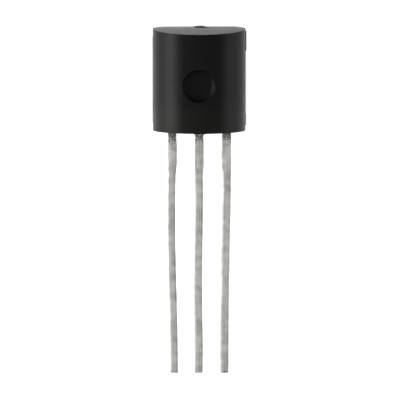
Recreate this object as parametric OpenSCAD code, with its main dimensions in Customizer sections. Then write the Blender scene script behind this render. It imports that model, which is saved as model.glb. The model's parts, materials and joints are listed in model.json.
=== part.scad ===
// Three-lead transistor in a moulded D-shaped package, millimetres.
// It lies on its flat side, tipped so that the flat's lower edge and the lead tips touch the table.
// Each piece is drawn in the package's own frame, then laid down by at_rest():
// X runs across the leads, Y goes from the round side to the flat side, and Z goes from the leads
// to the top. The package frame starts on the axis of the round side, where the leads come out.

/* [Moulded body] */
// Diameter of the round side
body_d = 4.35; // [4.2:0.05:4.8]
// Depth from the round side's crown to the flat side
body_depth = 3.475; // [3.3:0.025:3.7]
// Height along the leads, at the parting plane
body_h = 4.8; // [4.6:0.01:5]
// Draft of the top and bottom faces away from the parting plane, in degrees
draft = 2; // [0.5:0.1:2.5]
// Radius of the edge between the round side and the end faces
edge_r = 0.16; // [0.08:0.01:0.18]

/* [Ejector pin mark] */
// Diameter of the mark's rim
mark_d = 1.55; // [1.4:0.05:1.7]
// Diameter of the mark's flat floor
mark_floor_d = 1.3; // [0.8:0.05:1.35]
// Depth of the rim below the crown
mark_rim_depth = 0.15; // [0.1:0.01:0.18]
// Depth of the floor below the crown
mark_floor_depth = 0.33; // [0.28:0.01:0.36]
// Height of the mark's centre
mark_z = 2.3; // [2:0.01:2.7]

/* [Moulding remains] */
// Height of the broken gate stub above the parting plane's top
gate_h = 0.05; // [0.04:0.01:0.15]
// Distance from the parting plane back to the front of the gate stub
gate_front = 0.35; // [0.2:0.05:0.7]
// Distance from the parting plane back to the back of the gate stub
gate_back = 0.85; // [0.75:0.05:1]
// How far the flash stands out of the right side
flash_out = 0.04; // [0.01:0.01:0.08]
// Thickness of the flash
flash_t = 0.05; // [0.03:0.01:0.08]
// How far the resin pad round the middle lead hangs below the bottom face
pad_drop = 0.2; // [0.1:0.01:0.35]

/* [Leads] */
// Distance between lead centres
pitch = 1.27; // [1.27:0.01:1.3]
// Thickness of the lead frame's sheet
sheet_t = 0.38; // [0.36:0.01:0.42]
// Distance from the middle of the sheet to the flat side
sheet_to_flat = 1.25; // [1.1:0.05:1.4]
// Length of the leads below the body
lead_len = 11.5; // [11:0.1:14.5]
// Width of a lead below its dam bar stub
lead_w = 0.38; // [0.34:0.01:0.4]
// Width of a lead where it leaves the body
root_w = 0.4; // [0.38:0.01:0.42]
// Width of a lead at its dam bar stub
stub_w = 0.44; // [0.42:0.01:0.46]

/* [Lead frame inside the body] */
// Width and height of the island that carries the die
island = [1.9, 1.5]; // [1.6:0.1:1.9]
// Height of the island's lower edge above the bottom face
island_z = 2.45; // [2.4:0.05:2.6]
// Width of the neck between the middle lead and the island
neck_w = 0.46; // [0.42:0.02:0.5]
// Width and height of an outer lead's bonding post
post = [1.1, 0.9]; // [0.8:0.1:1.1]
// Height of the posts' lower edge above the bottom face
post_z = 1.15; // [1:0.05:1.2]
// Distance from the middle lead's centre to the middle of a post
post_x = 1.17; // [1.15:0.01:1.2]
// Radius of the mould lock notches in the island and the posts
lock_r = 0.14; // [0.1:0.01:0.16]

/* [Die and bond wires] */
// Side of the square die
die_w = 0.5; // [0.35:0.05:0.6]
// Thickness of the die
die_t = 0.2; // [0.15:0.01:0.25]
// Thickness of the die attach layer
attach_t = 0.025; // [0.02:0.005:0.04]
// How far the attach layer runs out past the die
attach_margin = 0.04; // [0.02:0.01:0.06]
// Height of the die's centre above the bottom face
die_z = 3.15; // [3.1:0.05:3.3]
// Diameter of a bond wire
wire_d = 0.05; // [0.04:0.01:0.05]
// How far a wire arches above the straight line between its bonds
wire_arch = 0.3; // [0.25:0.01:0.4]
// Distance from the die's centre to a bond pad, sideways and down
bond_pad = [0.12, 0.06]; // [0.04:0.01:0.15]
// Height of the bonds on the posts above the bottom face
stitch_z = 1.75; // [1.6:0.05:1.8]

/* [Hidden] */
$fn = 96;
wire_fn = 24;

body_r = body_d / 2;
flat_y = body_depth - body_r;
sheet_y = flat_y - sheet_to_flat;
sheet_back = sheet_y + sheet_t / 2;
sheet_front = sheet_y - sheet_t / 2;
clear = 1;
edge_over = 0.012;
drop_per_y = tan(draft);

die_y = sheet_back + attach_t;
bond_y = die_y + die_t;

// Heights at which a lead changes width, from the body down to the tip
stub_top = -0.72;
stub_bottom = -1.42;
taper_end = -2.05;
corner = 0.06;

// Lowest and highest point of each stretch of flash
flash_spans = [[0.2, 0.8], [3.7, 4.74]];

// How far each lead strays from its pitch line, as [height, distance], from the tip up
bends = [
    [[-lead_len, 0.11], [-8, 0.05], [-5.8, -0.01], [-3.9, -0.02], [-2.7, -0.015], [0, 0]],
    [[-lead_len, -0.01], [-10.6, 0.01], [-7, -0.025], [-5.3, -0.005], [-3, 0.02], [0, 0]],
    [[-lead_len, -0.07], [-8.4, -0.04], [-5.3, 0.005], [-2.7, 0.055], [-1.4, 0.02], [0, 0.03]]
];

// The flat's lower edge and the tips' lower edges meet the table, which sets the tip angle
foot_z = (flat_y - sheet_y) * drop_per_y;
tip_angle = atan2(flat_y - sheet_back, lead_len + foot_z);
table_z = foot_z * sin(tip_angle) - flat_y * cos(tip_angle);

// The origin lies under the middle of the whole object's box
high_y = (sheet_y + gate_back) * sin(tip_angle) + (body_h + gate_h) * cos(tip_angle);
low_y = sheet_front * sin(tip_angle) - lead_len * cos(tip_angle);
middle_y = (high_y + low_y) / 2;
middle_x = flash_out / 2;

// Lays a piece from the package frame down on the table
module at_rest() {
    translate([-middle_x, -middle_y, -table_z])
        rotate([tip_angle - 90, 0, 0])
            children();
}

// Extrudes an outline drawn in X and Z through Y, from y0 to y1
module plate(y0, y1) {
    translate([0, y1, 0])
        rotate([90, 0, 0])
            linear_extrude(height = y1 - y0)
                children();
}

// Half the section through the round body, with its end edges rounded. It stands a little
// taller than the body, so that the drafted faces cut cleanly across the rounding.
module half_section() {
    low = -edge_over;
    high = body_h + edge_over;
    translate([0, low])
        square([body_r - edge_r, high - low]);
    translate([0, low + edge_r])
        square([body_r, high - low - 2 * edge_r]);
    for (level = [low + edge_r, high - edge_r])
        translate([body_r - edge_r, level])
            circle(r = edge_r);
}

// The round body, cut off by the flat side
module round_body() {
    intersection() {
        rotate_extrude()
            half_section();
        translate([-body_d, -body_d, -clear])
            cube([2 * body_d, body_d + flat_y, body_h + 2 * clear]);
    }
}

// The space between the drafted top and bottom faces
module between_faces() {
    front = -body_r - clear;
    back = flat_y + clear;
    front_drop = (sheet_y - front) * drop_per_y;
    back_drop = (back - sheet_y) * drop_per_y;
    rotate([90, 0, 90])
        linear_extrude(height = 2 * body_d, center = true)
            polygon([
                [front, front_drop],
                [sheet_y, 0],
                [back, back_drop],
                [back, body_h - back_drop],
                [sheet_y, body_h],
                [front, body_h - front_drop]
            ]);
}

module ejector_mark() {
    translate([0, -body_r, mark_z])
        rotate([-90, 0, 0]) {
            translate([0, 0, -clear])
                cylinder(h = clear + mark_rim_depth, d = mark_d);
            translate([0, 0, mark_rim_depth])
                cylinder(
                    h = mark_floor_depth - mark_rim_depth,
                    d1 = mark_d,
                    d2 = mark_floor_d
                );
        }
}

// What was left when the runner was broken off the top face
module gate_stub() {
    root = 0.1;
    plate(sheet_y + gate_front, sheet_y + gate_back)
        polygon([
            [-0.28, body_h - root],
            [-0.26, body_h + gate_h * 0.3],
            [-0.1, body_h + gate_h * 0.8],
            [-0.02, body_h + gate_h],
            [0.1, body_h + gate_h * 0.9],
            [0.5, body_h + gate_h * 0.4],
            [0.52, body_h - root]
        ]);
}

// The hollow that the gate tore out in front of its stub
module gate_pit() {
    pit = [0.38, 0.15, 0.04];
    translate([0.04, sheet_y + gate_front - pit.y, body_h - pit.z])
        cube([pit.x, pit.y, pit.z + clear]);
}

// A thin web of resin that crept between the mould halves on the right side
module flash(low, high) {
    root = body_r - 0.1;
    plate(sheet_y - flash_t / 2, sheet_y + flash_t / 2)
        polygon([
            [root, low],
            [body_r + flash_out, low + 0.1],
            [body_r + flash_out, high - 0.1],
            [root, high]
        ]);
}

module resin_pad() {
    half_t = sheet_t / 2 + 0.06;
    plate(sheet_y - half_t, sheet_y + half_t)
        polygon([
            [-0.42, 0.1],
            [-0.3, -pad_drop * 0.75],
            [-0.22, -pad_drop],
            [0.22, -pad_drop],
            [0.32, -pad_drop * 0.7],
            [0.4, 0.1]
        ]);
}

// One black moulding of epoxy, closed round the lead frame, the die and the wires
module moulded_body() {
    color("#1d1d1f")
        difference() {
            union() {
                intersection() {
                    round_body();
                    between_faces();
                }
                gate_stub();
                for (span = flash_spans)
                    flash(span[0], span[1]);
                resin_pad();
            }
            ejector_mark();
            gate_pit();
            middle_lead_shape();
            outer_lead_shape(-1);
            outer_lead_shape(1);
            attach_shape();
            die_shape();
            bond_wire_shape(-1);
            bond_wire_shape(1);
        }
}

// Outline of a lead below the body: a root, a dam bar stub, a taper and a long shank.
// The stub stands out by more on the left edge, where the dam bar was sheared.
function shank_side(which, side) =
    let (
        strays = bends[which],
        x0 = (which - 1) * pitch,
        levels = [
            [0.2, root_w],
            [stub_top, root_w],
            [stub_top - 0.06, stub_w],
            [stub_bottom, stub_w],
            [stub_bottom - 0.1, (stub_w + lead_w) / 2],
            [taper_end, lead_w],
            [-2.7, lead_w],
            [-3.9, lead_w],
            [-5.5, lead_w],
            [-7, lead_w],
            [-8.4, lead_w],
            [-10, lead_w],
            [-lead_len + corner, lead_w],
            [-lead_len, lead_w - 2 * corner]
        ]
    )
    [for (level = levels) [x0 + lookup(level[0], strays) + side * level[1] / 2, level[0]]];

function reversed(points) = [for (i = [len(points) - 1:-1:0]) points[i]];

module shank(which) {
    polygon(concat(shank_side(which, -1), reversed(shank_side(which, 1))));
}

// The middle lead is one stamping with the island that carries the die
module middle_lead_shape() {
    lug = island.x / 2;
    island_top = island_z + island.y;
    plate(sheet_front, sheet_back)
        difference() {
            union() {
                shank(1);
                translate([-neck_w / 2, 0.1])
                    square([neck_w, island_z]);
                translate([-lug, island_z])
                    square(island);
            }
            for (side = [-1, 1])
                translate([side * lug, island_top - 0.35])
                    circle(r = lock_r);
            for (side = [-1, 1])
                translate([side * neck_w / 2, 0.6])
                    circle(r = lock_r / 2);
        }
}

// An outer lead ends inside the body in a post that takes a bond wire
module outer_lead_shape(side) {
    which = side + 1;
    plate(sheet_front, sheet_back)
        difference() {
            union() {
                shank(which);
                translate([side * pitch - root_w / 2, 0.1])
                    square([root_w, post_z]);
                translate([side * post_x - post.x / 2, post_z])
                    square(post);
            }
            translate([side * (post_x + post.x / 2), post_z + post.y / 2])
                circle(r = lock_r);
        }
}

module attach_shape() {
    side = die_w + 2 * attach_margin;
    translate([-side / 2, sheet_back, die_z - side / 2])
        cube([side, attach_t, side]);
}

module die_shape() {
    translate([-die_w / 2, die_y, die_z - die_w / 2])
        cube([die_w, die_t, die_w]);
}

// A wire in its own frame: one arc from a ball bond at the origin to a flattened bond that lies
// `reach` away in X and `drop` below it. The arc ends inside the two bonds.
module looped_wire(reach, drop) {
    ball_d = 2.2 * wire_d;
    foot_d = 2.6 * wire_d;
    bond_h = 0.8 * wire_d;
    chord = norm([reach, drop]);
    radius = (chord * chord / 4 + wire_arch * wire_arch) / (2 * wire_arch);
    half_angle = asin(chord / 2 / radius);
    tilt = atan2(-drop, reach);
    sunk = radius - wire_arch;
    cylinder(h = bond_h, d = ball_d, $fn = wire_fn);
    translate([reach, 0, -drop])
        cylinder(h = bond_h, d = foot_d, $fn = wire_fn);
    translate([reach / 2 + sunk * sin(tilt), 0, bond_h * 0.7 - drop / 2 - sunk * cos(tilt)])
        rotate([90, 0, 0])
            rotate([0, 0, 90 + tilt - half_angle])
                rotate_extrude(angle = 2 * half_angle, $fn = 4 * $fn)
                    translate([radius, 0])
                        circle(d = wire_d, $fn = wire_fn);
}

module bond_wire_shape(side) {
    start = [side * bond_pad.x, die_z - bond_pad.y];
    finish = [side * post_x, stitch_z];
    run = finish - start;
    translate([start.x, bond_y, start.y])
        rotate([-90, 0, 0])
            rotate([0, 0, atan2(-run.y, run.x)])
                looped_wire(norm(run), bond_y - sheet_back);
}

module collector_lead_and_island() {
    color("#a9a8a2")
        middle_lead_shape();
}

module left_lead() {
    color("#a9a8a2")
        outer_lead_shape(-1);
}

module right_lead() {
    color("#a9a8a2")
        outer_lead_shape(1);
}

module silicon_die() {
    color("#5a6068")
        die_shape();
}

module die_attach() {
    color("#b9bcc0")
        attach_shape();
}

module left_bond_wire() {
    color("#c9a14a")
        bond_wire_shape(-1);
}

module right_bond_wire() {
    color("#c9a14a")
        bond_wire_shape(1);
}

at_rest() moulded_body();
at_rest() collector_lead_and_island();
at_rest() left_lead();
at_rest() right_lead();
at_rest() silicon_die();
at_rest() die_attach();
at_rest() left_bond_wire();
at_rest() right_bond_wire();
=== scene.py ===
"""A three-lead transistor in a moulded D-shaped package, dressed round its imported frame.

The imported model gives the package's place, its sizes and its inner pieces. This script models the
moulding and the three leads again with their rounded edges, their gate scar and their bends, gives
every piece its finish, and lays the transistor on a light table under a camera that looks down.

Pieces are modelled in the package's own frame, in millimetres: X runs across the leads, Y goes from
the round side to the flat side, and Z goes from the leads to the top. PackageFrame then places them.
"""

import json
import logging
import math
import random
from collections.abc import Callable, Iterator
from contextlib import contextmanager
from dataclasses import dataclass, replace
from enum import Enum

import bmesh
import bpy
from bpy.types import Material, Node, NodeSocket, NodeTree, Object
from mathutils import Matrix, Vector

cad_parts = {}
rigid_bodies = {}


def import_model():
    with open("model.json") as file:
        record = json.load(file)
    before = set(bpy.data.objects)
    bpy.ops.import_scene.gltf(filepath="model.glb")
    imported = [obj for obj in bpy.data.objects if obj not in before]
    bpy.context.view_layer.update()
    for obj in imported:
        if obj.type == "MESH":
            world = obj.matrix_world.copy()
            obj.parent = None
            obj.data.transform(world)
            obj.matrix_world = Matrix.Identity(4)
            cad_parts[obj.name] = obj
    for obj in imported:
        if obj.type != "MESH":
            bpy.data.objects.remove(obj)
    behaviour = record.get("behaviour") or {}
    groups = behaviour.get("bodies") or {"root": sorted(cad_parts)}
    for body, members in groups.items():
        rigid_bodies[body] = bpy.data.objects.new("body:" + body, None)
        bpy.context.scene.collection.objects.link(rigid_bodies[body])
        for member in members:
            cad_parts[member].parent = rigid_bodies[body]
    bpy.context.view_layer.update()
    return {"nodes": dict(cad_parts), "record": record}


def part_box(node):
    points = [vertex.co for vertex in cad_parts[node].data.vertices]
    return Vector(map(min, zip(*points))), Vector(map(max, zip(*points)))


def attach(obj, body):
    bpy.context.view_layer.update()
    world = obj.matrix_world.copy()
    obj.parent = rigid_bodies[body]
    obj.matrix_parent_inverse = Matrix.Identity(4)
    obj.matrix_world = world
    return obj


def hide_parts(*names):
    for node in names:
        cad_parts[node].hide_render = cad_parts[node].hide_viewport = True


log = logging.getLogger("transistor")

MM = 0.001

Pair = tuple[float, float]
Triple = tuple[float, float, float]


def srgb(code: str) -> tuple[float, float, float, float]:
    """Turns an sRGB hex colour into linear red, green, blue and alpha.

    Args:
        code: Six hex digits.

    Returns:
        The linear colour, with an alpha of 1.
    """
    channels = [int(code[i : i + 2], 16) / 255 for i in (0, 2, 4)]
    linear = [c / 12.92 if c <= 0.04045 else ((c + 0.055) / 1.055) ** 2.4 for c in channels]
    return (linear[0], linear[1], linear[2], 1.0)


def add_node(
    tree: NodeTree, kind: str, inputs: dict[str | int, object], **settings: object
) -> Node:
    """Adds a node to a tree, with its links and its settings.

    Args:
        tree: The node tree.
        kind: The node's type, without its ShaderNode prefix.
        inputs: Input sockets by name or number. An output socket is linked, and anything else is set.
        **settings: Attributes of the node.

    Returns:
        The new node.
    """
    node = tree.nodes.new(f"ShaderNode{kind}")
    for name, value in settings.items():
        setattr(node, name, value)
    for key, value in inputs.items():
        if isinstance(value, NodeSocket):
            tree.links.new(value, node.inputs[key])
        else:
            node.inputs[key].default_value = value
    return node


@dataclass(frozen=True)
class PackageFrame:
    """Where the package lies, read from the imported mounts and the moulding's box.

    Attributes:
        start: Point on the round side's axis where the leads come out, in metres.
        lean: Turn about X from the package's frame to the table's, in radians.
        radius: Radius of the round side, in millimetres.
        flat_y: Distance from the round side's axis to the flat side.
        sheet_y: Distance from that axis to the middle of the lead frame's sheet.
        height: Height of the moulding at the parting plane.
        tip_z: Height of the leads' tips, below the moulding.
    """

    start: Vector
    lean: float
    radius: float
    flat_y: float
    sheet_y: float
    height: float
    tip_z: float

    @classmethod
    def from_record(
        cls, record: dict, sheet_y: float = 0.05, sheet_t: float = 0.38
    ) -> "PackageFrame":
        """Works the frame out from the record's two mounts.

        Args:
            record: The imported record.
            sheet_y: Distance from the round side's axis to the lead frame's sheet.
            sheet_t: Thickness of that sheet.

        Returns:
            The package's frame.
        """
        mounts = {m["name"]: m for m in record["mounts"]}
        back = Vector(mounts["flat_side"]["axis"]).normalized()
        top = -Vector(mounts["leads"]["axis"]).normalized()
        exit_point = Vector(mounts["leads"]["pos_m"])
        span = Vector(mounts["flat_side"]["pos_m"]) - exit_point
        start = exit_point - back * sheet_y * MM
        low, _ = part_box("moulded_body")
        tip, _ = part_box("left_lead")
        sheet_front = sheet_y - sheet_t / 2
        return cls(
            start=start,
            lean=math.atan2(back.z, back.y),
            radius=(start.x - low.x) / MM,
            flat_y=sheet_y + span.dot(back) / MM,
            sheet_y=sheet_y,
            height=2 * span.dot(top) / MM,
            tip_z=((tip.y - start.y) / MM - sheet_front * back.y) / top.y,
        )

    def matrix(self) -> Matrix:
        """Returns the matrix from package millimetres to the table's metres."""
        turn = Matrix.Rotation(self.lean, 4, "X")
        return Matrix.Translation(self.start) @ turn @ Matrix.Scale(MM, 4)

    def point(self, tree: NodeTree) -> NodeSocket:
        """Adds nodes to a material's tree that give the shaded point in package millimetres."""
        inverse = add_node(
            tree,
            "Mapping",
            {
                "Vector": add_node(tree, "TexCoord", {}).outputs["Object"], "Location": self.start,
                "Rotation": (self.lean, 0.0, 0.0), "Scale": (MM, MM, MM),
            },
            vector_type="TEXTURE",
        )
        return inverse.outputs["Vector"]


class Domain(Enum):
    """What a selection in edit mode is made of."""

    VERT = "VERT"
    EDGE = "EDGE"
    FACE = "FACE"


def focus(piece: Object) -> None:
    """Makes one object the only one selected, and the active one."""
    for thing in bpy.context.view_layer.objects:
        thing.select_set(False)
    piece.select_set(True)
    bpy.context.view_layer.objects.active = piece


@contextmanager
def edit_mode(piece: Object) -> Iterator[None]:
    """Holds an object in edit mode while its mesh is shaped."""
    focus(piece)
    bpy.ops.object.mode_set(mode="EDIT")
    try:
        yield
    finally:
        bpy.ops.object.mode_set(mode="OBJECT")


def pick(piece: Object, domain: Domain, test: Callable[..., bool]) -> int:
    """Selects, in edit mode, just the vertices, edges or faces that pass a test.

    Args:
        piece: The object in edit mode.
        domain: What to select.
        test: Takes a bmesh element and says whether it is selected.

    Returns:
        How many are selected.
    """
    bpy.ops.mesh.select_mode(type=domain.value)
    bpy.ops.mesh.select_all(action="DESELECT")
    mesh = bmesh.from_edit_mesh(piece.data)
    elements = {Domain.VERT: mesh.verts, Domain.EDGE: mesh.edges, Domain.FACE: mesh.faces}[domain]
    chosen = [e for e in elements if test(e)]
    for element in chosen:
        element.select = True
    mesh.select_flush_mode()
    bmesh.update_edit_mesh(piece.data)
    return len(chosen)


def combine(piece: Object, tool: Object, operation: str) -> None:
    """Adds a tool's solid to a piece or cuts it away, and removes the tool.

    Args:
        piece: The object that is changed.
        tool: The object that is added or cut away.
        operation: UNION or DIFFERENCE.
    """
    focus(piece)
    modifier = piece.modifiers.new("Boolean", "BOOLEAN")
    modifier.operation = operation
    modifier.solver = "EXACT"
    modifier.object = tool
    bpy.ops.object.modifier_apply(modifier=modifier.name)
    bpy.data.objects.remove(tool)


def named(name: str) -> Object:
    """Names the object that an operator has just added, and returns it."""
    piece = bpy.context.object
    piece.name = name
    piece.data.name = name
    return piece


def add_box(name: str, size: Triple, centre: Triple, turn_deg: float = 0.0) -> Object:
    """Adds a plain box.

    Args:
        name: Its name.
        size: Its width, depth and height.
        centre: Its middle.
        turn_deg: Its turn about Z.

    Returns:
        The box.
    """
    bpy.ops.mesh.primitive_cube_add(size=1, location=centre)
    box = named(name)
    box.scale = size
    box.rotation_euler.z = math.radians(turn_deg)
    bpy.ops.object.transform_apply(location=True, rotation=True, scale=True)
    return box


def add_pin(name: str, radius: float, length: float, centre: Triple, vertices: int) -> Object:
    """Adds a round pin that lies along Y.

    Args:
        name: Its name.
        radius: Its radius.
        length: Its length.
        centre: Its middle.
        vertices: How many sides it has.

    Returns:
        The pin.
    """
    bpy.ops.mesh.primitive_cylinder_add(
        vertices=vertices, radius=radius, depth=length, rotation=(math.pi / 2, 0, 0), location=centre
    )
    pin = named(name)
    bpy.ops.object.transform_apply(location=True, rotation=True)
    return pin


def sharp(edge: bmesh.types.BMEdge, degrees: float) -> bool:
    """Says whether an edge's two faces meet at more than this angle."""
    return len(edge.link_faces) == 2 and edge.calc_face_angle() > math.radians(degrees)


def settle(piece: Object, package: PackageFrame, smooth_deg: float) -> None:
    """Cleans a finished mesh, smooths it, and puts its place on the table into it.

    Args:
        piece: The object, modelled in package millimetres.
        package: The package's frame.
        smooth_deg: Edges flatter than this are smoothed.
    """
    merge = 1e-5
    with edit_mode(piece):
        bpy.ops.mesh.select_all(action="SELECT")
        bpy.ops.mesh.remove_doubles(threshold=merge)
        bpy.ops.mesh.normals_make_consistent(inside=False)
    piece.matrix_world = package.matrix()
    focus(piece)
    bpy.ops.object.transform_apply(location=True, rotation=True, scale=True)
    bpy.ops.object.shade_smooth_by_angle(angle=math.radians(smooth_deg))


@dataclass(frozen=True)
class Paint:
    """What a finish needs to lay its pattern on a material.

    Attributes:
        tree: The material's node tree.
        point: The shaded point in package millimetres.
        shader: The Principled shader.
        tip_z: Height of the leads' tips.
    """

    tree: NodeTree
    point: NodeSocket
    shader: Node
    tip_z: float

    def add(self, kind: str, inputs: dict[str | int, object], **settings: object) -> Node:
        """Adds a node to the tree, as add_node does."""
        return add_node(self.tree, kind, inputs, **settings)

    def drive(self, **sockets: NodeSocket) -> None:
        """Links outputs to the shader's inputs, which are named with _ for a space."""
        for name, socket in sockets.items():
            self.tree.links.new(socket, self.shader.inputs[name.replace("_", " ")])

    def fade(
        self, ragged: NodeSocket, heights: Pair, cover: Pair, edge: Pair, weight: float = 1.0
    ) -> NodeSocket:
        """Adds nodes that mask the surface from one height to another, with a ragged edge.

        Args:
            ragged: Noise that breaks the mask up.
            heights: Where the mask starts and where it is strongest.
            cover: What is added to the noise at these two heights.
            edge: The sums between which the mask goes from 0 to 1.
            weight: How much the noise counts.

        Returns:
            A socket from 0 to 1.
        """
        along = self.add(
            "MapRange",
            {
                "Value": self.add("SeparateXYZ", {0: self.point}).outputs["Z"],
                "From Min": heights[0], "From Max": heights[1], "To Min": cover[0],
                "To Max": cover[1],
            },
        )
        total = self.add(
            "Math", {0: ragged, 1: weight, 2: along.outputs["Result"]}, operation="MULTIPLY_ADD"
        )
        mask = self.add(
            "MapRange",
            {"Value": total.outputs[0], "From Min": edge[0], "From Max": edge[1]},
            interpolation_type="SMOOTHSTEP",
        )
        return mask.outputs["Result"]


@dataclass(frozen=True)
class Finish:
    """A surface finish: the shader's own values, and the pattern laid over them.

    Attributes:
        name: The material's name.
        colour: Main colour, as sRGB hex.
        roughness: Main roughness.
        metallic: 1 for a metal, else 0.
        ior: Index of refraction. A metal keeps the shader's own.
    """

    name: str
    colour: str
    roughness: float
    metallic: float = 0.0
    ior: float | None = None

    def material(self, package: PackageFrame) -> Material:
        """Makes the material.

        Args:
            package: The package's frame, which the pattern is laid in.

        Returns:
            The new material.
        """
        material = bpy.data.materials.new(self.name)
        material.use_nodes = True
        tree = material.node_tree
        shader = next(n for n in tree.nodes if n.type == "BSDF_PRINCIPLED")
        shader.inputs["Base Color"].default_value = srgb(self.colour)
        shader.inputs["Roughness"].default_value = self.roughness
        shader.inputs["Metallic"].default_value = self.metallic
        if self.ior is not None:
            shader.inputs["IOR"].default_value = self.ior
        self.pattern(Paint(tree, package.point(tree), shader, package.tip_z))
        return material

    def pattern(self, paint: Paint) -> None:
        """Lays the finish's pattern over the shader. Each finish has its own."""
        raise NotImplementedError


@dataclass(frozen=True)
class MouldedEpoxy(Finish):
    """Black silica-filled epoxy, transfer moulded in a spark-eroded mould.

    The mould's fine sparked skin gives the eye a satin face with soft, broad highlights, and the
    filler leaves faint cloudy patches that are a little duller or shinier.

    Attributes:
        cloud_mm: Size of the cloudy patches.
        skin_mm: Size of the sparked skin's pits, drawn coarser than the real 0.01 mm so they show.
        skin_depth: Strength of the skin's bump.
        pale: Colour of the palest cloud.
        lead_side_tone: Lighter, warmer colour that the resin goes to towards the leads.
        lead_side_tone_heights: Height at which that colour starts, and below which it is at full
            strength.
    """

    cloud_mm: float = 0.6
    skin_mm: float = 0.045
    skin_depth: float = 0.10
    pale: str = "18181a"
    lead_side_tone: str = "1d1c1b"
    lead_side_tone_heights: Pair = (1.9, 0.9)

    def pattern(self, paint: Paint) -> None:
        """Lays clouds of filler and the sparked skin over the resin."""
        clouds = paint.add(
            "TexNoise",
            {"Vector": paint.point, "Scale": 1 / self.cloud_mm, "Detail": 4.0, "Roughness": 0.55},
        ).outputs["Fac"]
        tint = paint.add(
            "Mix", {0: clouds, 6: srgb(self.colour), 7: srgb(self.pale)}, data_type="RGBA"
        )
        # Lighter, warmer colour towards the leads, broken up by the clouds.
        lead_side_share = paint.fade(clouds, self.lead_side_tone_heights, cover=(-0.2, 0.5), edge=(0.35, 1.0))
        colour = paint.add(
            "Mix", {0: lead_side_share, 6: tint.outputs[2], 7: srgb(self.lead_side_tone)}, data_type="RGBA"
        )
        gloss = paint.add(
            "MapRange",
            {
                "Value": clouds, "From Min": 0.3, "From Max": 0.7, "To Min": self.roughness - 0.04,
                "To Max": self.roughness + 0.05,
            },
        )
        skin = paint.add(
            "TexNoise",
            {"Vector": paint.point, "Scale": 1 / self.skin_mm, "Detail": 3.0, "Roughness": 0.6},
        )
        bump = paint.add(
            "Bump",
            {
                "Height": skin.outputs["Fac"], "Strength": self.skin_depth,
                "Distance": self.skin_mm * MM,
            },
        )
        paint.drive(
            Base_Color=colour.outputs[2],
            Roughness=gloss.outputs["Result"],
            Normal=bump.outputs["Normal"],
        )


@dataclass(frozen=True)
class TinnedLead(Finish):
    """Dull tin plated on a copper alloy sheet, then handled and bent.

    The plating has a fine grain drawn out along the lead by the rolled sheet under it, and dull
    grey patches. Near the body a film of resin has bled over it, dark, rough and mottled. At the
    tip the cut has torn the tin in spots.

    Attributes:
        streak_mm: Width and length of a streak.
        patch_mm: Size of the dull patches.
        dull: Colour of the dull patches.
        bright: Colour where the tin was rubbed.
        resin: Colour of the film of resin.
        resin_end: Height at which the film ends, below the body.
        mottle: How strongly the film is broken up by bare spots.
        mottle_mm: Size of those spots.
        cut: Colour of the base metal where the tip was cut and the tin torn.
        cut_reach: How far up from the tip the tin is torn.
    """

    streak_mm: Pair = (0.05, 1.6)
    patch_mm: float = 0.4
    dull: str = "c8c7c3"
    bright: str = "f1f0ec"
    resin: str = "6c6860"
    resin_end: float = -1.3
    mottle: float = 2.3
    mottle_mm: float = 0.09
    cut: str = "84827c"
    cut_reach: float = 0.32

    def pattern(self, paint: Paint) -> None:
        """Lays streaks, dull patches, torn spots and the film of resin over the tin."""
        point = paint.point
        width, length = self.streak_mm
        drawn_out = paint.add(
            "Mapping",
            {"Vector": point, "Scale": (1 / width, 1 / width, 1 / length)},
            vector_type="POINT",
        )
        streaks = paint.add(
            "TexNoise", {"Vector": drawn_out.outputs["Vector"], "Scale": 1.0, "Detail": 3.0}
        )
        patches = paint.add(
            "TexNoise",
            {"Vector": point, "Scale": 1 / self.patch_mm, "Detail": 1.0, "Roughness": 0.5},
        )
        wear = paint.add(
            "Math",
            {0: streaks.outputs["Fac"], 1: 1.1, 2: patches.outputs["Fac"]},
            operation="MULTIPLY_ADD",
        )
        spread = paint.add(
            "MapRange", {"Value": wear.outputs[0], "From Min": 0.8, "From Max": 1.25}
        ).outputs["Result"]
        film = self.resin_film(paint)
        colour = srgb(self.dull)
        for share, layer in (
            (spread, self.bright), (self.torn_tin(paint), self.cut), (film, self.resin)
        ):
            colour = paint.add("Mix", {0: share, 6: colour, 7: srgb(layer)}, data_type="RGBA"
            ).outputs[2]
        rough = paint.add(
            "MapRange",
            {"Value": spread, "To Min": self.roughness + 0.08, "To Max": self.roughness - 0.06},
        )
        metal = paint.add("MapRange", {"Value": film, "To Min": 1.0, "To Max": 0.25})
        bump = paint.add(
            "Bump", {"Height": streaks.outputs["Fac"], "Strength": 0.1, "Distance": width * MM}
        )
        paint.drive(
            Base_Color=colour,
            Roughness=rough.outputs["Result"],
            Metallic=metal.outputs["Result"],
            Normal=bump.outputs["Normal"],
        )

    def torn_tin(self, paint: Paint) -> NodeSocket:
        """Adds nodes that go from 0, sound tin, to 1, base metal in spots near the tip."""
        spots = paint.add("TexNoise", {"Vector": paint.point, "Scale": 1 / self.mottle_mm})
        reach = (paint.tip_z + self.cut_reach, paint.tip_z)
        return paint.fade(spots.outputs["Fac"], reach, cover=(-0.5, 0.05), edge=(0.4, 0.6))

    def resin_film(self, paint: Paint) -> NodeSocket:
        """Adds nodes that go from 0, bare tin, to 1, covered with resin."""
        inside = 0.1
        ragged = paint.add(
            "TexNoise",
            {"Vector": paint.point, "Scale": 1 / self.mottle_mm, "Detail": 3.0, "Roughness": 0.7},
        )
        return paint.fade(
            ragged.outputs["Fac"],
            (self.resin_end, inside),
            cover=(-1.1 - self.mottle / 2, 0.5 - self.mottle / 2),
            edge=(-0.35, 0.2),
            weight=self.mottle,
        )


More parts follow.
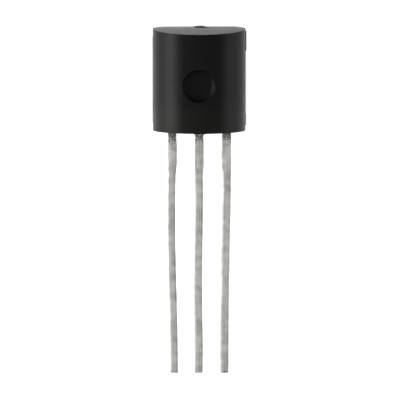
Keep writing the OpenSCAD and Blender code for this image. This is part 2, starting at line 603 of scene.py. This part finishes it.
@dataclass(frozen=True)
class SawnSilicon(Finish):
    """Polished silicon, sawn from its wafer, with an oxide film that looks slate blue.

    Attributes:
        film_mm: Size of the film's colour changes.
        film: Second colour of the film.
    """

    film_mm: float = 0.12
    film: str = "4a5570"

    def pattern(self, paint: Paint) -> None:
        """Lays the oxide film's two colours over the silicon."""
        cells = paint.add("TexVoronoi", {"Vector": paint.point, "Scale": 1 / self.film_mm})
        tint = paint.add(
            "Mix",
            {0: cells.outputs["Distance"], 6: srgb(self.colour), 7: srgb(self.film)},
            data_type="RGBA",
        )
        paint.drive(Base_Color=tint.outputs[2])


@dataclass(frozen=True)
class GrainyMetal(Finish):
    """A metal with a fine grain, such as drawn gold wire or silver flakes in adhesive.

    Attributes:
        grain_mm: Size of the grain.
        depth: Strength of the grain's bump.
        spread: How far the roughness strays from its main value.
    """

    grain_mm: float = 0.02
    depth: float = 0.2
    spread: float = 0.08

    def pattern(self, paint: Paint) -> None:
        """Lays the grain over the metal."""
        grain = paint.add(
            "TexNoise", {"Vector": paint.point, "Scale": 1 / self.grain_mm}
        ).outputs["Fac"]
        rough = paint.add(
            "MapRange",
            {
                "Value": grain, "To Min": self.roughness - self.spread,
                "To Max": self.roughness + self.spread,
            },
        )
        bump = paint.add(
            "Bump", {"Height": grain, "Strength": self.depth, "Distance": self.grain_mm * MM}
        )
        paint.drive(Roughness=rough.outputs["Result"], Normal=bump.outputs["Normal"])


@dataclass
class Moulding:
    """The black epoxy moulding, in millimetres in the package's frame.

    Attributes:
        package: The package's frame, with the moulding's main sizes.
        draft_deg: Slope of the end faces away from the parting plane.
        rim_r: Radius of the edges round the end faces.
        mark_z: Height of the ejector mark's centre.
        mark_r: Radius of the mark's rim.
        mark_floor_r: Radius of the mark's floor.
        mark_floor_at: Where the floor's middle lies from the rim's, in X and Z, as the worn pin
            left it.
        mark_rim_depth: Depth of the mark's straight wall below the crown.
        mark_floor_depth: Depth of the floor below the crown.
        gate: Width, depth and least height of the broken gate stub.
        gate_at: Where the stub stands on the top face, in X and Y.
        gate_turn_deg: How far its torn front is turned from the flat side.
        gate_pulls: Spots where its top is pulled up or down, each with its X and Y from the stub's
            middle, its rise and its reach.
        pit: Width, depth and height of the hollow torn out beside it.
        pit_at: Where the hollow lies from the stub's middle.
        lip: Half length, thickness and greatest height of the lip on the flat side's top edge.
        pad: Width, depth and drop of the resin pad round the middle lead.
        seam: How far the parting line's seam stands out, and its thickness.
        flash_high: Lowest and highest point of the upper flash on the right side.
        flash_low: The same for the lower flash.
        flash_out: How far the upper and the lower flash stand out.
    """

    package: PackageFrame
    draft_deg: float = 2.0
    rim_r: float = 0.16
    mark_z: float = 2.3
    mark_r: float = 0.775
    mark_floor_r: float = 0.64
    mark_floor_at: Pair = (-0.03, 0.02)
    mark_rim_depth: float = 0.145
    mark_floor_depth: float = 0.335
    gate: Triple = (0.72, 0.42, 0.012)
    gate_at: Pair = (0.16, 0.7)
    gate_turn_deg: float = -45.0
    gate_pulls: tuple[tuple[float, float, float, float], ...] = (
        (-0.14, 0.16, 0.02, 0.25), (0.3, -0.25, -0.035, 0.4)
    )
    pit: Triple = (0.5, 0.2, 0.12)
    pit_at: Pair = (0.03, -0.27)
    lip: Triple = (1.66, 0.05, 0.015)
    pad: Triple = (0.74, 0.5, 0.19)
    seam: Pair = (0.012, 0.03)
    flash_high: Pair = (3.7, 4.74)
    flash_low: Pair = (0.2, 0.8)
    flash_out: Pair = (0.04, 0.024)

    def build(self) -> Object:
        """Models the moulding.

        Returns:
            The finished piece.
        """
        piece = self.blank()
        self.draft(piece)
        self.round_edges(piece)
        for tool in self.remains():
            combine(piece, tool, "UNION")
        combine(piece, self.pit_tool(), "DIFFERENCE")
        combine(piece, self.mark_tool(), "DIFFERENCE")
        self.soften_mark(piece)
        settle(piece, self.package, smooth_deg=32)
        return piece

    def blank(self) -> Object:
        """Turns a cylinder and cuts the flat side off it."""
        body = self.package
        bpy.ops.mesh.primitive_cylinder_add(
            vertices=256, radius=body.radius, depth=body.height, location=(0, 0, body.height / 2)
        )
        piece = named("epoxy_moulding")
        bpy.ops.object.transform_apply(location=True)
        with edit_mode(piece):
            bpy.ops.mesh.select_all(action="SELECT")
            bpy.ops.mesh.bisect(
                plane_co=(0, body.flat_y, 0), plane_no=(0, 1, 0), use_fill=True, clear_outer=True
            )
            bpy.ops.mesh.select_all(action="SELECT")
            bpy.ops.mesh.bisect(plane_co=(0, body.sheet_y, 0), plane_no=(0, 1, 0))
        return piece

    def draft(self, piece: Object) -> None:
        """Tilts the end faces down from the parting plane, so that the mould lets go."""
        body = self.package
        slope = math.radians(self.draft_deg)
        near = 1e-4
        for level in (0.0, body.height):
            outward = 1 if level else -1
            for side in (-1, 1):
                with edit_mode(piece):
                    pick(
                        piece,
                        Domain.VERT,
                        lambda v: abs(v.co.z - level) < near
                        and (v.co.y - body.sheet_y) * side > near,
                    )
                    bpy.ops.transform.rotate(
                        value=slope * outward * side,
                        orient_axis="X",
                        center_override=(0, body.sheet_y, level),
                    )

    def round_edges(self, piece: Object) -> None:
        """Rounds the rims of the end faces and the corners of the flat side."""
        with edit_mode(piece):
            pick(piece, Domain.EDGE, lambda e: sharp(e, 40))
            bpy.ops.mesh.bevel(offset=self.rim_r, segments=5, affect="EDGES", clamp_overlap=True)

    def rough_block(self, name: str, size: Triple, centre: Triple, turn_deg: float = 0.0) -> Object:
        """Starts a small block of torn resin, with enough faces to be torn.

        Args:
            name: The block's name.
            size: Its width, depth and height.
            centre: Its middle.
            turn_deg: Its turn about Z.

        Returns:
            The block.
        """
        block = add_box(name, size, centre, turn_deg)
        with edit_mode(block):
            bpy.ops.mesh.select_all(action="SELECT")
            bpy.ops.mesh.subdivide(number_cuts=9)
        return block

    def pull(self, block: Object, near: Pair, by: float, reach: float) -> None:
        """Pulls a block's top up or down round one spot, with a soft fall-off.

        Args:
            block: The block.
            near: The spot's X and Y.
            by: How far the spot moves up.
            reach: Radius that moves with it.
        """
        grip = 0.06

        def gripped(vertex: bmesh.types.BMVert) -> bool:
            """Says whether a vertex lies over or under the spot."""
            return math.hypot(vertex.co.x - near[0], vertex.co.y - near[1]) < grip

        top = max(v.co.z for v in block.data.vertices if gripped(v))
        with edit_mode(block):
            count = pick(block, Domain.VERT, lambda v: gripped(v) and top - v.co.z < grip / 4)
            log.info("%s is pulled at %d points", block.name, count)
            bpy.ops.transform.translate(
                value=(0, 0, by),
                use_proportional_edit=True,
                proportional_edit_falloff="SMOOTH",
                proportional_size=reach,
            )

    def gate_stub(self) -> Object:
        """Models the low torn mound that was left when the runner was broken off."""
        body = self.package
        width, depth, height = self.gate
        x, y = self.gate_at
        sunk = 0.1
        middle = (x, y, body.height + (height - sunk) / 2)
        block = self.rough_block(
            "gate_stub", (width, depth, height + sunk), middle, self.gate_turn_deg
        )
        for aside, back, rise, reach in self.gate_pulls:
            self.pull(block, (x + aside, y + back), rise, reach)
        with edit_mode(block):
            pick(block, Domain.FACE, lambda f: f.normal.z > 0.8)
            bpy.ops.transform.vertex_random(offset=0.008, uniform=1.0, seed=4)
        return block

    def back_lip(self) -> Object:
        """Models the thin lip of flash that stands up along the flat side's top edge.

        It rises from nothing at the left end to its full height at the right end.
        """
        body = self.package
        half, thick, high = self.lip
        top = body.height - (body.flat_y - body.sheet_y) * math.tan(math.radians(self.draft_deg))
        y = body.flat_y - self.rim_r - thick / 2
        sunk = 0.08
        lip = add_box("back_lip", (2 * half, thick, sunk), (0, y, top - sunk / 2))
        with edit_mode(lip):
            bpy.ops.mesh.select_all(action="SELECT")
            bpy.ops.mesh.subdivide(number_cuts=11)
            pick(lip, Domain.VERT, lambda v: v.co.z > top - sunk / 4)
            bpy.ops.transform.rotate(
                value=math.atan(high / (2 * half)), orient_axis="Y", center_override=(-half, y, top)
            )
            bpy.ops.transform.vertex_random(offset=0.004, uniform=1.0, seed=9)
        return lip

    def resin_pad(self) -> Object:
        """Models the resin that crept down round the middle lead."""
        body = self.package
        width, depth, drop = self.pad
        foot = 0.62
        block = self.rough_block("resin_pad", (width, depth, 2 * drop), (0, body.sheet_y, 0))
        with edit_mode(block):
            pick(block, Domain.VERT, lambda v: v.co.z < -drop * 0.95)
            bpy.ops.transform.resize(
                value=(foot, foot, 1), center_override=(0.01, body.sheet_y, -drop)
            )
            pick(block, Domain.VERT, lambda v: v.co.z < -drop * 0.1)
            bpy.ops.transform.vertex_random(offset=0.014, uniform=1.0, seed=7)
        return block

    def remains(self) -> list[Object]:
        """Models what the mould left: the gate stub, the resin pad, the seam and the flash."""
        return [self.gate_stub(), self.back_lip(), self.resin_pad(), *self.flashes()]

    def flashes(self) -> list[Object]:
        """Models the thin webs of resin that crept between the mould's halves."""
        body = self.package
        seam_out, thick = self.seam
        seam = (self.rim_r, body.height - self.rim_r)
        high_out, low_out = self.flash_out
        root = 0.1
        webs = []
        for name, side, (low, high), proud in (
            ("seam_left", -1, seam, seam_out), ("seam_right", 1, seam, seam_out),
            ("flash_high", 1, self.flash_high, high_out), ("flash_low", 1, self.flash_low, low_out),
        ):
            centre = (side * (body.radius + (proud - root) / 2), body.sheet_y, (low + high) / 2)
            web = add_box(name, (proud + root, thick, high - low), centre)
            with edit_mode(web):
                pick(web, Domain.FACE, lambda f: f.normal.x * side > 0.9)
                bpy.ops.transform.resize(value=(1, 0.4, 0.9), center_override=centre)
            webs.append(web)
        return webs

    def pit_tool(self) -> Object:
        """Models the hollow that the gate tore out of the top face."""
        body = self.package
        sunk = 0.01
        x, y = (gate + pit for gate, pit in zip(self.gate_at, self.pit_at))
        bpy.ops.mesh.primitive_ico_sphere_add(
            subdivisions=3, radius=0.5, location=(x, y, body.height - sunk)
        )
        tool = named("pit_tool")
        tool.scale = self.pit
        tool.rotation_euler.z = math.radians(self.gate_turn_deg)
        bpy.ops.object.transform_apply(location=True, rotation=True, scale=True)
        with edit_mode(tool):
            bpy.ops.mesh.select_all(action="SELECT")
            bpy.ops.transform.vertex_random(offset=0.012, uniform=1.0, seed=2)
        return tool

    def mark_tool(self) -> Object:
        """Models the end of the ejector pin, which leaves the round mark."""
        body = self.package
        crown = -body.radius
        clear = 0.5
        depth = clear + self.mark_rim_depth
        centre = (0, crown - clear + depth / 2, self.mark_z)
        tool = add_pin("mark_tool", self.mark_r, depth, centre, vertices=128)
        with edit_mode(tool):
            pick(tool, Domain.FACE, lambda f: f.normal.y > 0.9)
            bpy.ops.mesh.inset(
                thickness=self.mark_r - self.mark_floor_r,
                depth=self.mark_floor_depth - self.mark_rim_depth,
            )
            aside, up = self.mark_floor_at
            bpy.ops.transform.translate(value=(aside, 0, up))
            pick(tool, Domain.EDGE, lambda e: sharp(e, 10) and all(v.co.y > crown for v in e.verts))
            bpy.ops.mesh.bevel(offset=0.03, segments=3, affect="EDGES")
        return tool

    def soften_mark(self, piece: Object) -> None:
        """Rounds the mark's rim."""
        near = 0.02

        def on_rim(edge: bmesh.types.BMEdge) -> bool:
            """Says whether an edge lies on the mark's rim."""
            return sharp(edge, 12) and all(
                v.co.y < -1 and abs(math.hypot(v.co.x, v.co.z - self.mark_z) - self.mark_r) < near
                for v in edge.verts
            )

        with edit_mode(piece):
            count = pick(piece, Domain.EDGE, on_rim)
            log.info("the mark's rim has %d edges", count)
            bpy.ops.mesh.bevel(offset=0.02, segments=3, affect="EDGES", clamp_overlap=True)


class Place(Enum):
    """Where a lead stands in the row of three."""

    LEFT = -1
    MIDDLE = 0
    RIGHT = 1


def smooth_between(points: tuple[Pair, ...], at: float) -> float:
    """Reads a smooth curve through a few points.

    Args:
        points: Pairs of place and value, with the places rising.
        at: The place to read.

    Returns:
        The value there. Past the ends it is the end's own.
    """
    if at <= points[0][0]:
        return points[0][1]
    if at >= points[-1][0]:
        return points[-1][1]
    last = len(points) - 1
    i = next(k for k in range(last) if points[k + 1][0] >= at)

    def slope(k: int) -> float:
        """Gives the curve's slope at one of its points."""
        before, after = points[max(k - 1, 0)], points[min(k + 1, last)]
        return (after[1] - before[1]) / (after[0] - before[0])

    (x0, y0), (x1, y1) = points[i], points[i + 1]
    span = x1 - x0
    t = (at - x0) / span
    return (
        (2 * t**3 - 3 * t**2 + 1) * y0
        + (t**3 - 2 * t**2 + t) * span * slope(i)
        + (3 * t**2 - 2 * t**3) * y1
        + (t**3 - t**2) * span * slope(i + 1)
    )


@dataclass
class Lead:
    """One tinned lead with what it carries inside the moulding, in millimetres.

    Attributes:
        name: The piece's name.
        place: Where it stands in the row.
        package: The package's frame.
        bends: How far it strays from its pitch line, as (height, distance), from the tip up.
        sides: Distance from the pitch line to its left and right edge at each change of width, as
            (height, left, right), from the tip up.
        cuts: Where each plane that shears a corner meets the tip's end, from the middle of the lead,
            and how flat the plane is.
        seed: Seed of the small waver of its edges.
        pitch: Distance between lead centres.
        thickness: Thickness of the lead frame's sheet.
        edge_r: Radius of its edges that face the flat side.
        rolled_w: Width of the steep slope along its left edge, which faces the round side.
        rolled_drop: How far that slope falls.
        strip_w: Width of the shallow strip along its right edge.
        strip_drop: How far that strip slopes down to the edge.
        square_z: Height above which the left edge was sheared square, at the stub and the root.
        square_r: What is left of the steep slope there.
        tip_r: Radius of the edges round its tip.
        waver: How far its edges waver.
        shank_step: Distance between the rows of its shank.
        root_step: Distance between the rows of its root.
    """

    name: str
    place: Place
    package: PackageFrame
    bends: tuple[Pair, ...]
    sides: tuple[Triple, ...]
    cuts: tuple[Pair, Pair]
    seed: int
    pitch: float = 1.27
    thickness: float = 0.38
    edge_r: float = 0.05
    rolled_w: float = 0.045
    rolled_drop: float = 0.105
    strip_w: float = 0.075
    strip_drop: float = 0.037
    square_z: float = -1.9
    square_r: float = 0.015
    tip_r: float = 0.025
    waver: float = 0.0015
    shank_step: float = 0.16
    root_step: float = 0.05

    def edges_at(self, height: float, jitter: random.Random) -> Pair:
        """Gives the left and right edge at a height.

        Args:
            height: Height in the package's frame.
            jitter: Random numbers for the waver.

        Returns:
            The two edges' X.
        """
        middle = self.place.value * self.pitch + smooth_between(self.bends, height)
        left = self.linear(height, 1) + jitter.uniform(-self.waver, self.waver)
        right = self.linear(height, 2) + jitter.uniform(-self.waver, self.waver)
        return middle - left, middle + right

    def linear(self, height: float, column: int) -> float:
        """Reads a column of the sides' table at a height, along straight lines."""
        for low, high in zip(self.sides, self.sides[1:]):
            if height <= high[0]:
                share = max(0.0, (height - low[0]) / (high[0] - low[0]))
                return low[column] + share * (high[column] - low[column])
        return self.sides[-1][column]

    def heights(self) -> list[float]:
        """Lists the heights at which the lead's outline is set, from the tip up to the body."""
        root_start, inside = -2.3, 0.2
        found = [self.package.tip_z]
        while found[-1] < inside:
            found.append(found[-1] + (self.shank_step if found[-1] < root_start else self.root_step))
        return found

    def block(self, left: float, right: float, low: float, high: float) -> Object:
        """Models a plain stretch of the lead frame's sheet between four edges."""
        centre = ((left + right) / 2, self.package.sheet_y, (low + high) / 2)
        return add_box(f"{self.name}_sheet", (right - left, self.thickness, high - low), centre)

    def notch(self, x: float, z: float, radius: float) -> Object:
        """Models the round punch that cuts a mould lock notch in the sheet."""
        centre = (x, self.package.sheet_y, z)
        return add_pin(f"{self.name}_punch", radius, 2 * self.thickness, centre, vertices=32)

    def inner_sheet(self) -> Object:
        """Models what the lead carries inside the moulding: an island or a bonding post."""
        start = 0.1
        if self.place is Place.MIDDLE:
            neck, half, low, high = 0.23, 0.95, 2.45, 3.95
            piece = self.block(-neck, neck, start, low + start)
            combine(piece, self.block(-half, half, low, high), "UNION")
            for side in (-1, 1):
                combine(piece, self.notch(side * half, high - 0.35, 0.14), "DIFFERENCE")
                combine(piece, self.notch(side * neck, 0.6, 0.07), "DIFFERENCE")
            return piece
        side = self.place.value
        neck, low, high = 0.2, 1.15, 2.05
        inner, outer = sorted((side * 0.62, side * 1.72))
        middle = side * self.pitch
        piece = self.block(middle - neck, middle + neck, start, low + start)
        combine(piece, self.block(inner, outer, low, high), "UNION")
        combine(piece, self.notch(side * 1.72, (low + high) / 2, 0.14), "DIFFERENCE")
        return piece

    def section(self, piece: Object, left: float, right: float) -> None:
        """Gives the lead the section that stamping and tinning leave.

        The left edge that faces the round side is rolled over in a steep slope, and the right one
        falls away in a shallow strip to the burr. The two edges that face the flat are rounded.

        Args:
            piece: The short block that the lead is drawn from.
            left: X of its left side.
            right: X of its right side.
        """
        centre_y = self.package.sheet_y
        near = 1e-4

        def long_edge(edge: bmesh.types.BMEdge, x: float, side: int) -> bool:
            """Says whether an edge runs along the lead at this X, on this side of the sheet."""
            first, second = edge.verts
            return (
                abs(first.co.z - second.co.z) > near
                and all(abs(v.co.x - x) < near for v in edge.verts)
                and all((v.co.y - centre_y) * side > self.thickness / 2 - near for v in edge.verts)
            )

        with edit_mode(piece):
            pick(piece, Domain.EDGE, lambda e: long_edge(e, left, -1))
            bpy.ops.mesh.bevel(offset=self.rolled_w, segments=1, affect="EDGES")
            rolled_y = centre_y - self.thickness / 2 + self.rolled_w
            pick(
                piece,
                Domain.VERT,
                lambda v: abs(v.co.x - left) < near and abs(v.co.y - rolled_y) < near,
            )
            bpy.ops.transform.translate(value=(0, self.rolled_drop - self.rolled_w, 0))
            pick(piece, Domain.EDGE, lambda e: long_edge(e, left, 1) or long_edge(e, right, 1))
            bpy.ops.mesh.bevel(offset=self.edge_r, segments=3, affect="EDGES")
            pick(piece, Domain.EDGE, lambda e: long_edge(e, right, -1))
            bpy.ops.mesh.bevel(offset=self.strip_w, segments=1, affect="EDGES")
            strip_y = centre_y - self.thickness / 2 + self.strip_w
            pick(
                piece,
                Domain.VERT,
                lambda v: abs(v.co.x - right) < near and abs(v.co.y - strip_y) < near,
            )
            bpy.ops.transform.translate(value=(0, self.strip_drop - self.strip_w, 0))

    def build(self) -> Object:
        """Models the lead by drawing its section up from the tip.

        Returns:
            The finished piece.
        """
        jitter = random.Random(self.seed)
        rows = [(z, *self.edges_at(z, jitter)) for z in self.heights()]
        low, left, right = rows[0]
        piece = self.block(left, right, low, rows[1][0])
        piece.name = piece.data.name = self.name
        self.section(piece, left, right)
        with edit_mode(piece):
            pick(piece, Domain.FACE, lambda f: f.normal.z > 0.9)
            previous = (rows[1][0], left, right)
            for row in rows[2:]:
                previous = self.draw_up(previous, row)
        self.square_stub(piece)
        self.cut_tip(piece)
        self.round_edges(piece)
        combine(piece, self.inner_sheet(), "UNION")
        settle(piece, self.package, smooth_deg=38)
        return piece

    def paint_edge_shade(self, piece: Object) -> None:
        """Gives the sloping faces along the two front edges the second finish, a darker copy of the
        tin that is painted shade.
        """
        front = self.package.matrix().to_3x3().normalized() @ Vector((0, -1, 0))
        for face in piece.data.polygons:
            face.material_index = int(abs(face.normal.x) > 0.3 and face.normal.dot(front) > 0.2)

    def draw_up(self, start: Triple, end: Triple) -> Triple:
        """Extrudes the selected end face up to the next row and fits its width.

        Args:
            start: Height, left and right of the end face.
            end: The same for the next row.

        Returns:
            The next row, which the end face now is.
        """
        old_middle, new_middle = (start[1] + start[2]) / 2, (end[1] + end[2]) / 2
        bpy.ops.mesh.extrude_region_move(
            TRANSFORM_OT_translate={"value": (new_middle - old_middle, 0, end[0] - start[0])}
        )
        ratio = (end[2] - end[1]) / (start[2] - start[1])
        bpy.ops.transform.resize(
            value=(ratio, 1, 1), center_override=(new_middle, self.package.sheet_y, end[0])
        )
        return end

    def square_stub(self, piece: Object) -> None:
        """Closes both slopes where the dam bar was sheared off, so that the edges are square."""
        near = 1e-4
        front = self.package.sheet_y - self.thickness / 2
        middle = self.place.value * self.pitch
        for side, y, shift in (
            (-1, front + self.rolled_drop, (0, self.square_r - self.rolled_drop, 0)),
            (-1, front, (self.square_r - self.rolled_w, 0, 0)),
            (1, front + self.strip_drop, (0, self.square_r - self.strip_drop, 0)),
        ):
            with edit_mode(piece):
                pick(
                    piece,
                    Domain.VERT,
                    lambda v: v.co.z > self.square_z
                    and (v.co.x - middle) * side > 0
                    and abs(v.co.y - y) < near,
                )
                bpy.ops.transform.translate(value=shift)

    def cut_tip(self, piece: Object) -> None:
        """Shears the corners of the tip, each lead in its own way."""
        middle = self.place.value * self.pitch + self.bends[0][1]
        tip = Vector((middle, self.package.sheet_y - self.thickness / 2, self.package.tip_z))
        with edit_mode(piece):
            for aside, slope in self.cuts:
                bpy.ops.mesh.select_all(action="SELECT")
                bpy.ops.mesh.bisect(
                    plane_co=tip + Vector((aside, 0, 0)),
                    plane_no=(math.copysign(1, aside), 0, -slope),
                    use_fill=True,
                    clear_outer=True,
                )

    def round_edges(self, piece: Object) -> None:
        """Rounds the lead's long edges and its tip."""
        with edit_mode(piece):
            pick(piece, Domain.EDGE, lambda e: sharp(e, 35))
            bpy.ops.mesh.bevel(offset=self.tip_r, segments=2, affect="EDGES", clamp_overlap=True)


@dataclass(frozen=True)
class Softbox:
    """A soft lamp beside the table.

    Attributes:
        name: The lamp's name.
        place: Its middle, in millimetres from the object's middle.
        size: Its width and height, in millimetres.
        power: Its power in watts.
    """

    name: str
    place: Triple
    size: Pair
    power: float

    def build(self) -> Object:
        """Sets the lamp up, facing the object."""
        lamp = bpy.data.lights.new(self.name, "AREA")
        lamp.shape = "RECTANGLE"
        lamp.size, lamp.size_y = (side * MM for side in self.size)
        lamp.energy = self.power
        stand = bpy.data.objects.new(self.name, lamp)
        stand.location = Vector(self.place) * MM
        stand.rotation_euler = (-Vector(self.place)).to_track_quat("-Z", "Y").to_euler()
        stand.visible_camera = False
        bpy.context.scene.collection.objects.link(stand)
        return stand


@dataclass
class Studio:
    """A light table with two softboxes, a pale sky and a camera that looks down.

    Attributes:
        table_mm: Side of the table.
        table_glow: Light that the table gives, where 1 shows as white.
        horizon: Brightness of the sky at the horizon.
        zenith: Brightness of the sky overhead.
        lens_mm: The camera's focal length.
        view_mm: Width of what the camera sees at the leads.
        aim_mm: Where the camera looks, in millimetres from the object's middle.
        tilt_deg: How far the camera leans towards the package's top.
    """

    table_mm: float = 600.0
    table_glow: float = 0.74
    horizon: float = 0.15
    zenith: float = 0.49
    lens_mm: float = 600.0
    view_mm: float = 18.797
    aim_mm: Triple = (0.02, -0.0165, 1.0)
    tilt_deg: float = 2.2

    def build(self) -> None:
        """Sets the table, the lamps, the sky and the camera up."""
        self.table()
        for lamp in (
            Softbox("softbox_left", (-120, 0, 34), (120, 68), 0.185),
            Softbox("softbox_right", (120, 0, 25), (120, 50), 0.05),
        ):
            lamp.build()
        self.sky()
        self.camera()
        bpy.context.scene.view_settings.view_transform = "Standard"

    def table(self) -> None:
        """Lays the glowing table under the object."""
        bpy.ops.mesh.primitive_plane_add(size=self.table_mm * MM, location=(0, 0, 0))
        top = named("light_table")
        material = bpy.data.materials.new("opal_acrylic")
        material.use_nodes = True
        shader = next(n for n in material.node_tree.nodes if n.type == "BSDF_PRINCIPLED")
        shader.inputs["Base Color"].default_value = srgb("e6e6e6")
        shader.inputs["Roughness"].default_value = 0.8
        shader.inputs["Emission Color"].default_value = srgb("ffffff")
        shader.inputs["Emission Strength"].default_value = self.table_glow
        top.data.materials.append(material)

    def sky(self) -> None:
        """Makes the surroundings bright at the horizon and dark overhead, as in a light tent."""
        world = bpy.data.worlds.new("light_tent")
        world.use_nodes = True
        tree = world.node_tree
        tree.nodes.clear()
        where = add_node(tree, "TexCoord", {})
        axes = add_node(tree, "SeparateXYZ", {0: where.outputs["Generated"]})
        climb = add_node(
            tree,
            "MapRange",
            {
                "Value": axes.outputs["Z"], "From Min": 0.15, "From Max": 0.8,
                "To Min": self.horizon, "To Max": self.zenith,
            },
            interpolation_type="SMOOTHSTEP",
        )
        sky = add_node(
            tree, "Background", {"Color": srgb("ffffff"), "Strength": climb.outputs["Result"]}
        )
        add_node(tree, "OutputWorld", {"Surface": sky.outputs[0]})
        bpy.context.scene.world = world

    def camera(self) -> None:
        """Hangs the camera over the table, with its up towards the package's top."""
        data = bpy.data.cameras.new("camera")
        data.lens = self.lens_mm
        away = self.view_mm * self.lens_mm / data.sensor_width * MM
        data.clip_start, data.clip_end = away * 0.1, away * 10
        eye = bpy.data.objects.new("camera", data)
        tilt = math.radians(self.tilt_deg)
        back = Vector((0, math.sin(tilt), math.cos(tilt)))
        eye.location = Vector(self.aim_mm) * MM + back * away
        eye.rotation_euler = (-tilt, 0, 0)
        bpy.context.scene.collection.objects.link(eye)
        bpy.context.scene.camera = eye


@dataclass
class Transistor:
    """The whole transistor: its moulding, its leads and the pieces inside.

    Attributes:
        package: The package's frame.
        nodes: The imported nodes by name.
    """

    package: PackageFrame
    nodes: dict[str, Object]

    def leads(self) -> dict[str, Lead]:
        """Describes the three leads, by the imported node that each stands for."""
        tip = self.package.tip_z
        return {
            "left_lead": Lead(
                name="tinned_lead_left",
                place=Place.LEFT,
                package=self.package,
                bends=(
                    (tip, 0.107), (-9.9, 0.091), (-8.0, 0.051), (-5.8, -0.006), (-3.9, -0.022),
                    (-2.7, -0.015), (-2.05, 0.0), (0.2, 0.0),
                ),
                sides=(
                    (tip, 0.2, 0.172), (-2.1, 0.2, 0.172), (-1.78, 0.195, 0.205),
                    (-1.55, 0.196, 0.224), (-1.4, 0.216, 0.224), (-0.8, 0.218, 0.224),
                    (-0.7, 0.2, 0.222), (-0.4, 0.2, 0.205), (0.2, 0.2, 0.2),
                ),
                cuts=((0.15, 1), (-0.16, 1)),
                seed=11,
            ),
            "collector_lead_and_island": Lead(
                name="tinned_lead_middle",
                place=Place.MIDDLE,
                package=self.package,
                bends=(
                    (tip, -0.01), (-10.6, 0.008), (-9.9, 0.0), (-8.4, -0.019), (-7.0, -0.025),
                    (-5.3, -0.006), (-3.9, 0.012), (-2.7, 0.021), (-2.1, 0.005), (0.2, 0.0),
                ),
                sides=(
                    (tip, 0.215, 0.172), (-2.3, 0.212, 0.172), (-2.0, 0.212, 0.18),
                    (-1.75, 0.218, 0.212), (-1.5, 0.226, 0.216), (-1.1, 0.226, 0.214),
                    (-0.98, 0.215, 0.213), (-0.65, 0.215, 0.218), (-0.5, 0.21, 0.2),
                    (0.2, 0.2, 0.2),
                ),
                cuts=((0.14, 1), (-0.17, 0.8)),
                seed=23,
            ),
            "right_lead": Lead(
                name="tinned_lead_right",
                place=Place.RIGHT,
                package=self.package,
                bends=(
                    (tip, -0.072), (-9.9, -0.06), (-8.4, -0.042), (-6.9, -0.024), (-5.3, 0.004),
                    (-3.9, 0.035), (-2.7, 0.058), (-2.1, 0.048), (-1.7, 0.02), (0.2, 0.02),
                ),
                sides=(
                    (tip, 0.22, 0.185), (-8.4, 0.217, 0.178), (-2.1, 0.217, 0.172),
                    (-1.85, 0.222, 0.212), (-1.65, 0.24, 0.216), (-1.55, 0.25, 0.218),
                    (-1.0, 0.24, 0.207), (-0.9, 0.222, 0.21), (-0.3, 0.218, 0.212), (0.2, 0.2, 0.2),
                ),
                cuts=((0.15, 1), (-0.18, 1)),
                seed=31,
            ),
        }

    def build(self) -> None:
        """Models and dresses every piece, and ties each to the frame."""
        resin = MouldedEpoxy("moulded_epoxy", "131314", roughness=0.34, ior=1.175)
        tin = TinnedLead("dull_tin", "d2d1ce", roughness=0.48, metallic=1.0)
        # Darker copy of the tin for the leads' edge slopes: painted shade.
        shaded_edge_tin = replace(tin, name="painted_shade_edge_tin", dull="a9a8a4", bright="cfcecb")
        moulding = Moulding(self.package).build()
        self.adopt(moulding, "moulded_body", "epoxy_moulding", resin)
        for node, lead in self.leads().items():
            piece = lead.build()
            self.adopt(piece, node, "tinned_lead", tin, shaded_edge_tin)
            lead.paint_edge_shade(piece)
        self.dress_inner_pieces()

    def adopt(self, piece: Object, node: str, slot: str, *finishes: Finish) -> None:
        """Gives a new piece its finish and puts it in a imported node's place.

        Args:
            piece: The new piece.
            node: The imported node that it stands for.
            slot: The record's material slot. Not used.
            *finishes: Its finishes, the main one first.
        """
        piece.data.materials.clear()
        for finish in finishes:
            piece.data.materials.append(finish.material(self.package))
        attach(piece, "root")
        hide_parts(node)
        log.info("%s stands for %s with %d faces", piece.name, node, len(piece.data.polygons))

    def dress_inner_pieces(self) -> None:
        """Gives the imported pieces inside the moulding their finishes."""
        silicon = SawnSilicon("sawn_silicon", "2b303a", roughness=0.12, ior=3.4)
        silver = GrainyMetal("silver_adhesive", "b9bcc0", roughness=0.5, metallic=1.0)
        gold = GrainyMetal("gold_wire", "e0b450", roughness=0.22, metallic=1.0, depth=0.05)
        finishes = {
            "silicon_die": silicon, "die_attach": silver, "left_bond_wire": gold,
            "right_bond_wire": gold,
        }
        for name, finish in finishes.items():
            node = self.nodes[name]
            node.data.materials.clear()
            node.data.materials.append(finish.material(self.package))
            log.info("%s is dressed in %s", name, finish.name)


def main() -> None:
    """Loads the frame, and builds the transistor and the studio round it."""
    logging.basicConfig(level=logging.INFO, format="%(name)s: %(message)s")
    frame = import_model()
    package = PackageFrame.from_record(frame["record"])
    log.info("the package is %.2f mm across and leans %.2f rad", 2 * package.radius, package.lean)
    Transistor(package, frame["nodes"]).build()
    Studio().build()


if __name__ == "__main__":
    main()
